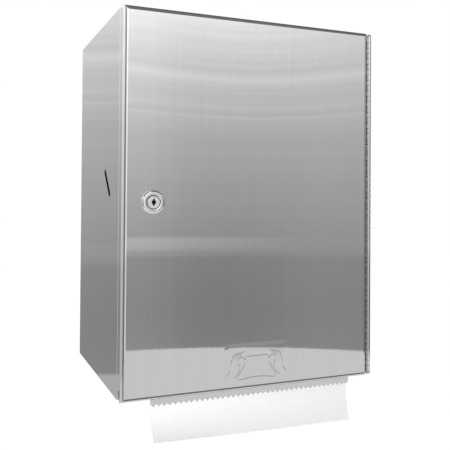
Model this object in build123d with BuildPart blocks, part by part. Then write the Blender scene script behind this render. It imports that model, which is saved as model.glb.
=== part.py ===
from build123d import *
import os
from math import acos, atan2, cos, degrees, hypot, radians, sin

# Surface-mounted roll towel dispenser in satin stainless sheet, hands-free pull type.
# X runs to the right, Y towards the wall and Z up. The origin is the middle of the four
# wall holes, on the outer back face of the cabinet. All lengths are in millimetres.

# Cabinet sheet metal
cabinet_width = 273.0
cabinet_height = 368.0
cabinet_depth = 212.0
sheet = 0.9
bend_radius = 1.8
front_flange = 11.0
panel_flange = 10.0
overrun = 2.0

# Wall holes and the sight slot in the left wall
wall_hole_diameter = 7.0
wall_pitch_x = 200.0
wall_pitch_z = 254.0
sight_length = 36.0
sight_width = 6.0
sight_angle = 47.0
sight_setback = 64.0
sight_rise = 19.5

# Door pan
door_sheet = 1.0
door_bend = 4.5
door_return = 13.0
door_bottom_return = 5.8
door_gap = 0.5
corner_notch = 3.0
relief_depth = 3.0
relief_height = 11.0
sign_width = 70.0
sign_height = 42.0
sign_corner = 5.0
sign_relief = 0.4
sign_slope = 84.0
sign_rise = 25.0
sign_shift = 1.0
bumper_diameter = 6.0
bumper_margin = 0.3
bumper_drop = 20.0
bumper_gap = 0.4

# Piano hinge at the front-right corner
barrel_diameter = 5.0
hinge_pin_diameter = 2.5
hinge_leaf = 0.9
hinge_inset = 4.6
knuckle_count = 62
knuckle_gap = 0.5
pin_head = 3.4
pin_round_share = 0.88
barrel_gap = 0.2
leaf_gap = 0.3

# Cam lock
lock_inset = 29.1
lock_rise = 0.8
lock_head_diameter = 22.5
lock_head = 3.2
lock_round_share = 0.8
lock_mouth_share = 0.7
lock_body_diameter = 16.0
lock_body = 17.0
lock_plug_diameter = 12.0
lock_plug_proud = 0.5
lock_plug_tail = 1.0
lock_nut_across = 22.0
lock_nut = 4.0
keyway_width = 1.8
keyway_height = 6.4
keyway_depth = 6.0
key_hole_diameter = 4.2
cam_reach = 26.0
cam_width = 11.0
cam_thickness = 2.0
cam_screw_head = 8.0
cam_screw_height = 2.4
strike_height = 40.0
strike_thickness = 1.2
strike_margin = 1.0

# Fits: radial clearances of turning and of assembled round parts
running_fit = 0.05
assembly_fit = 0.05
soft_gap = 0.3

# Tear bar and towel outlet
web_setback = 13.2
outlet_front_gap = 2.9
outlet_depth = 11.7
outlet_margin = 4.0
tongue_margin = 4.0
lip_height = 14.0
bar_thickness = 1.0
bar_margin = 0.3
bar_top_gap = 2.0
bar_drop = 8.6
tooth_count = 40
tooth_depth = 2.4
bar_screw_count = 3
bar_screw_pitch = 84.0
bar_screw_head = 7.0
bar_screw_height = 1.6
bar_screw_diameter = 4.0
guide_wall = 1.5
guide_height = 20.0
guide_foot = 14.0

# Side rooms between the cabinet walls and the feed module
knob_clear = 2.6
knob_thickness = 5.0
crank_room = 9.0
crank_disc_thickness = 3.0
crank_clear = 1.5
plate = 1.5
plate_gap = 7.0
drum_overhang = 1.0
clutch_clear = 5.1
clutch_length = 8.0

# Towel roll and its paper
roll_front_room = 20.0
roll_rear_room = 16.0
roll_top_room = 18.0
core_bore = 38.0
core_wall = 1.5
core_fit = 0.1
paper = 0.4
paper_gap = 0.3
tail_drop = 2.0
tail_radius = 75.0
tail_angle = 32.0

# Feed drum
drum_diameter = 97.0
drum_wall = 3.0
drum_rise = 75.0
cap_thickness = 8.0
cap_fit = 0.1
journal_diameter = 12.0
band_count = 5
band_width = 14.0
band_depth = 1.0
drum_screw_count = 3
drum_screw_diameter = 3.4
drum_screw_length = 8.0
drum_screw_sink = 0.3
drum_screw_turn = 60.0
bush_wall = 2.0
bush_flange = 1.2
bush_flange_rim = 2.0
clutch_diameter = 28.0
crank_disc_diameter = 60.0
crank_throw = 22.0
crank_pin_diameter = 5.0
crank_angle = -30.0
spring_post_throw = 88.0
spring_post_diameter = 6.0
drive_spring_diameter = 7.0
knob_diameter = 46.0
knob_flutes = 18
flute_diameter = 5.0

# Knife that swings out of a slot in the drum: places are tangential and radial to the drum
knife_angle = 225.0
knife_slot_width = 14.0
knife_slot_shift = 1.0
knife_slot_margin = 7.0
knife_pivot_side = 20.0
knife_pivot_radius = 32.0
knife_pivot_diameter = 6.0
knife_bar_thickness = 5.0
knife_bar_tail = 4.0
knife_bar_front = 3.0
knife_bar_lip = 2.0
knife_bar_lip_radius = 38.0
knife_bar_gap = 0.5
knife_blade_thickness = 1.0
knife_blade_foot = 30.0
knife_blade_tip = 45.5
knife_tooth_count = 36
knife_tooth_depth = 2.0
knife_stub = 6.0
knife_lever_gap = 0.8
knife_lever_thickness = 2.0
knife_lever_rim = 2.0
follower_side = 8.0
follower_radius = 20.0
follower_diameter = 8.0
follower_width = 3.0
follower_gap = 0.3
follower_pin_diameter = 3.0
knife_cam_width = 3.4
knife_cam_base = 28.0
knife_cam_nose = 8.0
knife_cam_gap = 0.5
knife_cam_angle = 170.0
knife_cam_fit = 0.4

# Sprung pressure roller above and behind the drum
nip_angle = 45.0
lift_angle = 62.0
arm_reach = 40.0
roller_diameter = 24.0
roller_core_diameter = 17.0
roller_end_gap = 0.5
sleeve_count = 4
sleeve_width = 34.0
axle_diameter = 6.0
pressure_shaft_diameter = 8.0
pressure_arm_thickness = 2.0
pressure_arm_gap = 1.5
pressure_arm_rim = 6.0
pressure_spring_wire = 1.6
pressure_spring_length = 14.0

# Module side plates, bridge and rods
plate_above = 70.0
plate_below = 64.0
plate_ahead = 38.0
plate_nose = 24.0
plate_shoulder = 20.0
plate_round = 9.0
plate_foot_inset = 6.0
frame_screw_diameter = 4.0
frame_screw_head = 8.0
frame_screw_height = 2.2
frame_screw_inset = 14.0
tie_rod_diameter = 6.0
tie_rod_spigot = 4.0
tie_rod_back = 45.0
tie_rod_upper = 59.0
tie_rod_lower = -51.0
bridge_back = 20.0
bridge_depth = 14.0
bridge_height = 40.0
bridge_clear = 2.0
bridge_sheet = 1.2

# Roll holder arms and hubs
holder_gap = 5.0
holder_thickness = 2.0
holder_height = 24.0
holder_nose = 16.0
holder_foot = 14.0
hub_base = 3.0
hub_base_diameter = 46.0
hub_plug = 10.0
hub_plug_diameter = 36.8
hub_tip_diameter = 33.0
holder_pin_diameter = 5.0
holder_pin_side = 4.0
holder_pin_back = 12.0
holder_barrel_rim = 2.0
holder_lug = 2.5
holder_lug_gap = 0.3
holder_lug_reach = 6.0
holder_spring_wire = 1.4
holder_spring_share = 0.3

# Faces and axes worked out from the sizes above
left = -cabinet_width / 2
right = cabinet_width / 2
bottom = -cabinet_height / 2
top = cabinet_height / 2
front = -cabinet_depth
cabinet_front = front + door_return + door_gap
barrel_radius = barrel_diameter / 2
barrel_x = right - barrel_radius
barrel_y = front + barrel_radius
leaf_front = barrel_y + barrel_radius + leaf_gap
door_right = barrel_x - barrel_radius - barrel_gap
door_rear = front + door_return

crank_disc_left = left + sheet + knob_clear + knob_thickness + crank_room
plate_left_out = crank_disc_left + crank_disc_thickness + crank_clear
plate_left_in = plate_left_out + plate
drum_left = plate_left_in + plate_gap
towel_left = drum_left + drum_overhang
plate_right_out = right - sheet - clutch_clear - clutch_length
plate_right_in = plate_right_out - plate
drum_right = plate_right_in - plate_gap
towel_right = drum_right - drum_overhang
towel_width = towel_right - towel_left
towel_middle = (towel_left + towel_right) / 2

roll_diameter = cabinet_depth - roll_front_room - roll_rear_room
roll_radius = roll_diameter / 2
roll_axis = (-roll_rear_room - roll_radius, top - roll_top_room - roll_radius)
web_y = front + web_setback
drum_radius = drum_diameter / 2
drum_axis = (web_y + paper / 2 + paper_gap + drum_radius, bottom + drum_rise)
roller_radius = roller_diameter / 2
nip_reach = drum_radius + paper_gap + paper + paper_gap + roller_radius


def polar(axis, distance, angle):
    """A point in the side view, at a distance and an angle (from +Y towards +Z) from an axis."""
    return (axis[0] + distance * cos(radians(angle)), axis[1] + distance * sin(radians(angle)))


roller_axis = polar(drum_axis, nip_reach, nip_angle)
pressure_pivot = polar(roller_axis, arm_reach, lift_angle - 90)
crank_pin_axis = polar(drum_axis, crank_throw, crank_angle)
spring_post_axis = polar(drum_axis, spring_post_throw, crank_angle)


def along_x(x_from, x_to, axis, radius, mode=Mode.ADD):
    """A round bar along X about an axis given by its Y and Z."""
    with Locations((x_from, axis[0], axis[1])):
        Cylinder(radius, x_to - x_from, rotation=(0, 90, 0),
                 align=(Align.CENTER, Align.CENTER, Align.MIN), mode=mode)


def along_y(y_from, y_to, axis, radius, mode=Mode.ADD):
    """A round bar along Y about an axis given by its X and Z."""
    with Locations((axis[0], y_from, axis[1])):
        Cylinder(radius, y_to - y_from, rotation=(-90, 0, 0),
                 align=(Align.CENTER, Align.CENTER, Align.MIN), mode=mode)


def along_z(z_from, z_to, axis, radius, mode=Mode.ADD):
    """A round bar along Z about an axis given by its X and Y."""
    with Locations((axis[0], axis[1], z_from)):
        Cylinder(radius, z_to - z_from,
                 align=(Align.CENTER, Align.CENTER, Align.MIN), mode=mode)


def block(x_span, y_span, z_span, mode=Mode.ADD):
    """A box between two values on each axis."""
    with Locations((sum(x_span) / 2, sum(y_span) / 2, sum(z_span) / 2)):
        Box(x_span[1] - x_span[0], y_span[1] - y_span[0], z_span[1] - z_span[0], mode=mode)


def serrated(x_from, x_to, back, root, tip, count):
    """Outline of a strip whose lower edge has pointed teeth, from the back edge to the tips."""
    pitch = (x_to - x_from) / count
    points = [(x_from, root), (x_from, back), (x_to, back), (x_to, root)]
    for index in range(count):
        points.append((x_to - pitch * (index + 0.5), tip))
        if index < count - 1:
            points.append((x_to - pitch * (index + 1), root))
    return points


os.makedirs("parts", exist_ok=True)


def keep(piece, name):
    """Labels a finished piece and writes it to its own file."""
    piece.part.label = name
    export_step(piece.part, f"parts/{name}.step")


# The feed module and the roll holder are screwed to the back: where their screws go
foot_left = plate_left_out - plate_foot_inset
foot_right = plate_right_out + plate_foot_inset
plate_top = drum_axis[1] + plate_above
plate_bottom = drum_axis[1] - plate_below
holder_left_out = towel_left - holder_gap - holder_thickness
holder_left_in = towel_left - holder_gap
holder_right_in = towel_right + holder_gap
holder_right_out = holder_right_in + holder_thickness
holder_pin_x = holder_right_out + holder_pin_side - holder_thickness / 2
holder_pin_y = -holder_pin_back
foot_thickness = plate
frame_screw_places = [
    (x, z)
    for x in (foot_left, foot_right)
    for z in (plate_bottom + frame_screw_inset, plate_top - frame_screw_inset)
]
holder_screw_places = [
    (holder_left_out - holder_foot / 2, roll_axis[1] - holder_height / 4),
    (holder_left_out - holder_foot / 2, roll_axis[1] + holder_height / 4),
]

# Cabinet shell: left wall with a door flange, back and right wall folded from one sheet
with BuildPart() as cabinet_shell:
    with BuildSketch(Plane.XY.offset(bottom)) as wrap:
        with BuildLine():
            Polyline(
                (left, cabinet_front),
                (left, 0),
                (right, 0),
                (right, leaf_front),
                (right - sheet, leaf_front),
                (right - sheet, -sheet),
                (left + sheet, -sheet),
                (left + sheet, cabinet_front + sheet),
                (left + front_flange, cabinet_front + sheet),
                (left + front_flange, cabinet_front),
                close=True,
            )
        make_face()
        for corner in ((left, 0), (right, 0), (left, cabinet_front)):
            fillet(wrap.vertices().sort_by_distance(corner)[0], bend_radius)
        inside = (left + sheet, right - sheet, cabinet_front + sheet)
        for corner in ((inside[0], -sheet), (inside[1], -sheet), (inside[0], inside[2])):
            fillet(wrap.vertices().sort_by_distance(corner)[0], bend_radius - sheet)
    extrude(amount=cabinet_height)
    for x_side in (-1, 1):
        for z_side in (-1, 1):
            hole = (x_side * wall_pitch_x / 2, z_side * wall_pitch_z / 2)
            along_y(-sheet - overrun, overrun, hole, wall_hole_diameter / 2, Mode.SUBTRACT)
    with BuildSketch(Plane.YZ.offset(left - overrun)):
        with Locations((front + sight_setback, sight_rise)):
            SlotOverall(sight_length, sight_width, rotation=sight_angle)
    extrude(amount=sheet + overrun + overrun, mode=Mode.SUBTRACT)
    for place in frame_screw_places + holder_screw_places:
        along_y(-sheet - overrun, overrun, place, frame_screw_diameter / 2 + assembly_fit, Mode.SUBTRACT)
keep(cabinet_shell, "cabinet_shell")

# Top panel: a shallow tray spot-welded between the walls, its rim turned down
inner_left = left + sheet
inner_right = right - sheet
panel_front = cabinet_front + sheet
with BuildPart() as top_panel:
    block((inner_left, inner_right), (panel_front, -sheet), (top - panel_flange, top))
    fillet(top_panel.edges().filter_by(Axis.Z), bend_radius)
    block((inner_left + sheet, inner_right - sheet), (panel_front + sheet, -sheet - sheet),
          (top - panel_flange - overrun, top - sheet), Mode.SUBTRACT)
keep(top_panel, "top_panel")

# Bottom panel: a tray with its rim turned up, and a tongue ahead of it that carries the tear bar
slot_left = towel_left - outlet_margin
slot_right = towel_right + outlet_margin
tongue_left = slot_left - tongue_margin
tongue_right = slot_right + tongue_margin
lip_rear = web_y - outlet_front_gap
lip_front = lip_rear - sheet
outlet_rear = lip_rear + outlet_depth
lip_top = bottom + lip_height
bar_screw_places = [
    (towel_middle + bar_screw_pitch * (index - (bar_screw_count - 1) / 2), bottom + lip_height / 2)
    for index in range(bar_screw_count)
]
with BuildPart() as bottom_panel:
    block((inner_left, inner_right), (panel_front, -sheet), (bottom, bottom + panel_flange))
    fillet(bottom_panel.edges().filter_by(Axis.Z), bend_radius)
    block((inner_left + sheet, inner_right - sheet), (panel_front + sheet, -sheet - sheet),
          (bottom + sheet, bottom + panel_flange + overrun), Mode.SUBTRACT)
    block((tongue_left, tongue_right), (lip_front, panel_front + sheet), (bottom, bottom + sheet))
    block((tongue_left, tongue_right), (lip_front, lip_rear), (bottom, lip_top))
    block((slot_left, slot_right), (lip_rear, outlet_rear),
          (bottom - overrun, bottom + panel_flange + overrun), Mode.SUBTRACT)
    for place in bar_screw_places:
        along_y(lip_front - overrun, lip_rear + overrun, place,
                bar_screw_diameter / 2 + assembly_fit, Mode.SUBTRACT)
keep(bottom_panel, "bottom_panel")

# Tear bar: a serrated strip screwed to the front of the tongue's lip
bar_left = towel_left - bar_margin
bar_right = towel_right + bar_margin
bar_front = lip_front - bar_thickness
bar_tip = bottom - bar_drop
with BuildPart() as tear_bar:
    with BuildSketch(Plane.XZ.offset(-lip_front)):
        with BuildLine():
            Polyline(*serrated(bar_left, bar_right, lip_top - bar_top_gap, bar_tip + tooth_depth, bar_tip,
                               tooth_count), close=True)
        make_face()
    extrude(amount=bar_thickness)
    for place in bar_screw_places:
        along_y(bar_front - overrun, lip_front + overrun, place,
                bar_screw_diameter / 2 + assembly_fit, Mode.SUBTRACT)
keep(tear_bar, "tear_bar")

with BuildPart() as tear_bar_screws:
    for place in bar_screw_places:
        along_y(bar_front - bar_screw_height, bar_front, place, bar_screw_head / 2)
        along_y(bar_front, lip_rear, place, bar_screw_diameter / 2)
keep(tear_bar_screws, "tear_bar_screws")

# Outlet guide: an angle behind the slot that keeps the towel off the panel's edge
with BuildPart() as outlet_guide:
    block((slot_left, slot_right), (outlet_rear, outlet_rear + guide_wall),
          (bottom + sheet, bottom + sheet + guide_height))
    block((slot_left, slot_right), (outlet_rear, outlet_rear + guide_foot),
          (bottom + sheet, bottom + sheet + guide_wall))
keep(outlet_guide, "outlet_guide")

# Piano hinge: two leaves whose knuckles take turns along one pin with a domed head at each end
hinge_bottom = bottom + hinge_inset
hinge_height = cabinet_height - hinge_inset - hinge_inset
knuckle_pitch = hinge_height / knuckle_count


def hinge_leaf_piece(leaf_left, leaf_rear, first_knuckle):
    """One leaf, with every second knuckle from the first one given."""
    with BuildPart() as leaf_piece:
        block((leaf_left, leaf_left + hinge_leaf), (leaf_front, leaf_rear),
              (hinge_bottom, hinge_bottom + hinge_height))
        for index in range(first_knuckle, knuckle_count, 2):
            knuckle_from = hinge_bottom + knuckle_pitch * index + knuckle_gap / 2
            knuckle_to = hinge_bottom + knuckle_pitch * (index + 1) - knuckle_gap / 2
            along_z(knuckle_from, knuckle_to, (barrel_x, barrel_y), barrel_radius)
            block((leaf_left, leaf_left + hinge_leaf), (barrel_y, leaf_front), (knuckle_from, knuckle_to))
        along_z(hinge_bottom, hinge_bottom + hinge_height, (barrel_x, barrel_y),
                hinge_pin_diameter / 2 + running_fit, Mode.SUBTRACT)
    return leaf_piece


hinge_cabinet_leaf = hinge_leaf_piece(right - sheet - hinge_leaf, cabinet_front, 0)
keep(hinge_cabinet_leaf, "hinge_cabinet_leaf")
hinge_door_leaf = hinge_leaf_piece(door_right, door_rear, 1)
keep(hinge_door_leaf, "hinge_door_leaf")

with BuildPart() as hinge_pin:
    for head_from, head_to in ((hinge_bottom - pin_head, hinge_bottom),
                               (hinge_bottom + hinge_height, hinge_bottom + hinge_height + pin_head)):
        along_z(head_from, head_to, (barrel_x, barrel_y), barrel_radius)
    head_ends = (hinge_pin.edges().group_by(Axis.Z)[0], hinge_pin.edges().group_by(Axis.Z)[-1])
    fillet(head_ends, barrel_radius * pin_round_share)
    along_z(hinge_bottom, hinge_bottom + hinge_height, (barrel_x, barrel_y), hinge_pin_diameter / 2)
keep(hinge_pin, "hinge_pin")

# Door pan: a folded sheet with rounded bends, a short lower return and notched corners
lock_axis = (left + lock_inset, lock_rise)
sign_middle = (sign_shift + (left + right) / 2, bottom + sign_rise)
door_inside = front + door_sheet
with BuildPart() as door_hollow:
    block((left + door_sheet, door_right - door_sheet), (door_inside, door_rear + overrun),
          (bottom + door_sheet, top - door_sheet))
    fillet(door_hollow.faces().sort_by(Axis.Y)[0].edges(), door_bend - door_sheet)
with BuildPart() as door_panel:
    block((left, door_right), (front, door_rear), (bottom, top))
    fillet(door_panel.faces().sort_by(Axis.Y)[0].edges(), door_bend)
    add(door_hollow.part, mode=Mode.SUBTRACT)
    block((left + corner_notch, door_right - corner_notch), (front + door_bottom_return, door_rear + overrun),
          (bottom - overrun, bottom + door_sheet + overrun), Mode.SUBTRACT)
    for corner_x in (left, door_right):
        for corner_z in (bottom, top):
            block((corner_x - corner_notch, corner_x + corner_notch),
                  (front + door_bend, door_rear + overrun),
                  (corner_z - corner_notch, corner_z + corner_notch), Mode.SUBTRACT)
    block((left - overrun, left + door_bend), (front + door_bend, front + door_bend + relief_depth),
          (bottom - overrun, bottom + relief_height), Mode.SUBTRACT)
    with BuildSketch(Plane.XZ.offset(-front)):
        with Locations(sign_middle):
            RectangleRounded(sign_width, sign_height, sign_corner)
    extrude(amount=sign_relief, taper=sign_slope)
    along_y(front - overrun, door_inside + overrun, lock_axis,
            lock_body_diameter / 2 + assembly_fit, Mode.SUBTRACT)
keep(door_panel, "door_panel")

# Rubber buffers on stems inside the door's free side, just short of the cabinet's flange
bumper_x = left + door_bend + bumper_margin + bumper_diameter / 2
with BuildPart() as door_bumpers:
    for bumper_z in (bottom + bumper_drop, top - bumper_drop):
        along_y(door_inside, cabinet_front - bumper_gap, (bumper_x, bumper_z), bumper_diameter / 2)
    fillet(door_bumpers.edges().group_by(Axis.Y)[-1], bumper_gap)
keep(door_bumpers, "door_bumpers")

# Cam lock: housing through the door, nut behind it, turning plug with a cam
lock_rear = front + lock_body
lock_ring = (lock_head_diameter - lock_plug_diameter) / 2 - running_fit
lock_head_round = min(lock_head, lock_ring) * lock_round_share
lock_mouth_round = (lock_ring - lock_head_round) * lock_mouth_share
with BuildPart() as lock_housing:
    along_y(front - lock_head, front, lock_axis, lock_head_diameter / 2)
    fillet(lock_housing.edges().group_by(Axis.Y)[0], lock_head_round)
    along_y(front, lock_rear, lock_axis, lock_body_diameter / 2)
    along_y(front - lock_head - overrun, lock_rear + overrun, lock_axis,
            lock_plug_diameter / 2 + running_fit, Mode.SUBTRACT)
    fillet(lock_housing.edges().group_by(Axis.Y)[0].sort_by(SortBy.RADIUS)[0], lock_mouth_round)
keep(lock_housing, "lock_housing")

with BuildPart() as lock_nut_piece:
    with BuildSketch(Plane.XZ.offset(-door_inside - lock_nut)):
        with Locations(lock_axis):
            RegularPolygon(lock_nut_across / 2, 6, major_radius=False)
            Circle(lock_body_diameter / 2 + assembly_fit, mode=Mode.SUBTRACT)
    extrude(amount=lock_nut)
keep(lock_nut_piece, "lock_nut")

plug_front = front - lock_head - lock_plug_proud
plug_rear = lock_rear + lock_plug_tail
with BuildPart() as lock_plug:
    along_y(plug_front, plug_rear, lock_axis, lock_plug_diameter / 2)
    chamfer(lock_plug.edges().group_by(Axis.Y)[0], lock_plug_proud)
    block((lock_axis[0] - keyway_width / 2, lock_axis[0] + keyway_width / 2),
          (plug_front - overrun, plug_front + keyway_depth),
          (lock_axis[1] - keyway_height / 2, lock_axis[1] + keyway_height / 2), Mode.SUBTRACT)
    along_y(plug_front - overrun, plug_front + keyway_depth, lock_axis, key_hole_diameter / 2, Mode.SUBTRACT)
keep(lock_plug, "lock_plug")

cam_rear = plug_rear + cam_thickness
with BuildPart() as lock_cam:
    with BuildSketch(Plane.XZ.offset(-cam_rear)):
        with Locations((lock_axis[0], lock_axis[1] - (cam_reach - cam_width / 2) / 2)):
            SlotOverall(cam_reach + cam_width / 2, cam_width, rotation=90)
    extrude(amount=cam_thickness)
keep(lock_cam, "lock_cam")

with BuildPart() as cam_screw:
    along_y(cam_rear, cam_rear + cam_screw_height, lock_axis, cam_screw_head / 2)
    chamfer(cam_screw.edges().group_by(Axis.Y)[-1], cam_screw_height / 4)
keep(cam_screw, "cam_screw")

# Strike plate behind the cabinet's left flange, which the turned cam hooks behind
with BuildPart() as strike_plate:
    block((left + sheet + strike_margin, left + front_flange), (panel_front, panel_front + strike_thickness),
          (lock_axis[1] - strike_height / 2, lock_axis[1] + strike_height / 2))
keep(strike_plate, "strike_plate")

# Module side plates: folded plates that carry the drum and the pressure roller
journal_radius = journal_diameter / 2
bush_radius = journal_radius + running_fit + bush_wall
tie_rod_axes = [(-tie_rod_back, drum_axis[1] + tie_rod_upper), (-tie_rod_back, drum_axis[1] + tie_rod_lower)]
plate_front = drum_axis[0] - plate_ahead


def module_plate(plate_from, foot_x):
    """One side plate from its left face on, with its rear foot about the row of screws."""
    with BuildPart() as plate_piece:
        with BuildSketch(Plane.YZ.offset(plate_from)) as plate_outline:
            with BuildLine():
                Polyline(
                    (-sheet, plate_bottom),
                    (-sheet, plate_top),
                    (roller_axis[0] - plate_shoulder, plate_top),
                    (plate_front, drum_axis[1] + plate_nose),
                    (plate_front, drum_axis[1] - plate_nose),
                    (drum_axis[0] - plate_shoulder, plate_bottom),
                    close=True,
                )
            make_face()
            fillet(plate_outline.vertices().sort_by(Axis.X)[:4], plate_round)
        extrude(amount=plate)
        foot_from = min(plate_from, foot_x - plate_foot_inset)
        foot_to = max(plate_from + plate, foot_x + plate_foot_inset)
        block((foot_from, foot_to), (-sheet - foot_thickness, -sheet), (plate_bottom, plate_top))
        for x, z in frame_screw_places:
            if x == foot_x:
                along_y(-sheet - foot_thickness - overrun, overrun, (x, z),
                        frame_screw_diameter / 2 + assembly_fit, Mode.SUBTRACT)
        round_holes = [(drum_axis, bush_radius), (pressure_pivot, pressure_shaft_diameter / 2)]
        round_holes += [(axis, tie_rod_spigot / 2) for axis in tie_rod_axes]
        for axis, radius in round_holes:
            along_x(plate_from - overrun, plate_from + plate + overrun, axis,
                    radius + assembly_fit, Mode.SUBTRACT)
    return plate_piece


module_plate_left = module_plate(plate_left_out, foot_left)
keep(module_plate_left, "module_plate_left")
module_plate_right = module_plate(plate_right_in, foot_right)
keep(module_plate_right, "module_plate_right")

with BuildPart() as frame_screws:
    for place in frame_screw_places:
        along_y(-sheet - foot_thickness - frame_screw_height, -sheet - foot_thickness, place,
                frame_screw_head / 2)
        along_y(-sheet - foot_thickness, 0, place, frame_screw_diameter / 2)
    for place in holder_screw_places:
        along_y(-sheet - holder_thickness - frame_screw_height, -sheet - holder_thickness, place,
                frame_screw_head / 2)
        along_y(-sheet - holder_thickness, 0, place, frame_screw_diameter / 2)
keep(frame_screws, "frame_screws")

# Rear bridge: a channel welded between the plates
bridge_rear = -bridge_back
bridge_top = pressure_pivot[1] - pressure_shaft_diameter / 2 - pressure_arm_rim - bridge_clear
bridge_bottom = bridge_top - bridge_height
with BuildPart() as rear_bridge:
    block((plate_left_in, plate_right_in), (bridge_rear - bridge_depth, bridge_rear),
          (bridge_bottom, bridge_top))
    block((plate_left_in - overrun, plate_right_in + overrun),
          (bridge_rear - bridge_depth - overrun, bridge_rear - bridge_sheet),
          (bridge_bottom + bridge_sheet, bridge_top - bridge_sheet), Mode.SUBTRACT)
keep(rear_bridge, "rear_bridge")

with BuildPart() as tie_rods:
    for axis in tie_rod_axes:
        along_x(plate_left_in, plate_right_in, axis, tie_rod_diameter / 2)
        along_x(plate_left_out, plate_right_out, axis, tie_rod_spigot / 2)
keep(tie_rods, "tie_rods")

# Drum bearings: flanged bushes in the plates and a one-way clutch outside the right plate
bush_rim_radius = bush_radius + bush_flange_rim
with BuildPart() as drum_bushes:
    along_x(plate_left_out, plate_left_in + bush_flange, drum_axis, bush_radius)
    along_x(plate_left_in, plate_left_in + bush_flange, drum_axis, bush_rim_radius)
    along_x(plate_right_in - bush_flange, plate_right_out, drum_axis, bush_radius)
    along_x(plate_right_in - bush_flange, plate_right_in, drum_axis, bush_rim_radius)
    along_x(plate_left_out - overrun, plate_right_out + overrun, drum_axis,
            journal_radius + running_fit, Mode.SUBTRACT)
keep(drum_bushes, "drum_bushes")

clutch_right = plate_right_out + clutch_length
with BuildPart() as one_way_clutch:
    along_x(plate_right_out, clutch_right, drum_axis, clutch_diameter / 2)
    chamfer(one_way_clutch.edges().group_by(Axis.X)[-1], sheet)
    along_x(plate_right_out - overrun, clutch_right + overrun, drum_axis,
            journal_radius + running_fit, Mode.SUBTRACT)
keep(one_way_clutch, "one_way_clutch")

# Drum: a grooved tube on two end caps with journals
drum_bore = drum_radius - drum_wall
knife_radial = Vector(0, cos(radians(knife_angle)), sin(radians(knife_angle)))
knife_tangent = Vector(0, sin(radians(knife_angle)), -cos(radians(knife_angle)))


def knife_plane(x):
    """Side-view plane at x whose own X is tangential and whose own Y is radial at the knife."""
    return Plane(origin=(x, drum_axis[0], drum_axis[1]), x_dir=knife_tangent, z_dir=(1, 0, 0))


def knife_point(side, radius):
    """The Y and Z of a point given by its tangential and radial place at the knife."""
    point = knife_tangent * side + knife_radial * radius
    return (drum_axis[0] + point.Y, drum_axis[1] + point.Z)


cap_left_in = drum_left + cap_thickness
cap_right_in = drum_right - cap_thickness
with BuildPart() as knife_slot:
    with BuildSketch(knife_plane(cap_left_in + knife_slot_margin)):
        with Locations((knife_slot_shift, drum_radius)):
            Rectangle(knife_slot_width, drum_radius)
    extrude(amount=cap_right_in - cap_left_in - knife_slot_margin - knife_slot_margin)

band_pitch = (drum_right - drum_left) / band_count
band_places = [drum_left + band_pitch * (index + 0.5) - band_width / 2 for index in range(band_count)]
with BuildPart() as grip_bands:
    for band_from in band_places:
        along_x(band_from, band_from + band_width, drum_axis, drum_radius)
        along_x(band_from, band_from + band_width, drum_axis, drum_radius - band_depth, Mode.SUBTRACT)
    add(knife_slot.part, mode=Mode.SUBTRACT)
keep(grip_bands, "grip_bands")

# Radial screws that hold the tube to the caps, sunk below the drum's surface
drum_screw_planes = [
    Plane(origin=(x, *polar(drum_axis, drum_radius - drum_screw_sink, angle)),
          z_dir=(0, -cos(radians(angle)), -sin(radians(angle))))
    for x in (drum_left + cap_thickness / 2, drum_right - cap_thickness / 2)
    for angle in [drum_screw_turn + 360 / drum_screw_count * index for index in range(drum_screw_count)]
]
with BuildPart() as drum_screws:
    for place in drum_screw_planes:
        with BuildSketch(place):
            Circle(drum_screw_diameter / 2)
        extrude(amount=drum_screw_length)
keep(drum_screws, "drum_screws")

with BuildPart() as drum_screw_holes:
    for place in drum_screw_planes:
        with BuildSketch(place.offset(-overrun)):
            Circle(drum_screw_diameter / 2 + assembly_fit)
        extrude(amount=drum_screw_length + overrun)

with BuildPart() as drum_shell:
    along_x(drum_left, drum_right, drum_axis, drum_radius)
    along_x(drum_left - overrun, drum_right + overrun, drum_axis, drum_bore, Mode.SUBTRACT)
    for band_from in band_places:
        with BuildSketch(Plane.YZ.offset(band_from)):
            with Locations(drum_axis):
                Circle(drum_radius + overrun)
                Circle(drum_radius - band_depth, mode=Mode.SUBTRACT)
        extrude(amount=band_width, mode=Mode.SUBTRACT)
    add(knife_slot.part, mode=Mode.SUBTRACT)
    add(drum_screw_holes.part, mode=Mode.SUBTRACT)
keep(drum_shell, "drum_shell")

knife_pivot = knife_point(-knife_pivot_side, knife_pivot_radius)
knob_left = left + sheet + knob_clear
with BuildPart() as drum_cap_left:
    along_x(drum_left, cap_left_in, drum_axis, drum_bore - cap_fit)
    along_x(knob_left, drum_left, drum_axis, journal_radius)
    along_x(cap_left_in - knife_stub - knife_bar_gap, cap_left_in + overrun, knife_pivot,
            knife_pivot_diameter / 2 + running_fit, Mode.SUBTRACT)
    add(drum_screw_holes.part, mode=Mode.SUBTRACT)
keep(drum_cap_left, "drum_cap_left")

with BuildPart() as drum_cap_right:
    along_x(cap_right_in, drum_right, drum_axis, drum_bore - cap_fit)
    along_x(drum_right, clutch_right, drum_axis, journal_radius)
    along_x(cap_right_in - overrun, drum_right + overrun, knife_pivot,
            knife_pivot_diameter / 2 + running_fit, Mode.SUBTRACT)
    add(drum_screw_holes.part, mode=Mode.SUBTRACT)
keep(drum_cap_right, "drum_cap_right")

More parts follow.
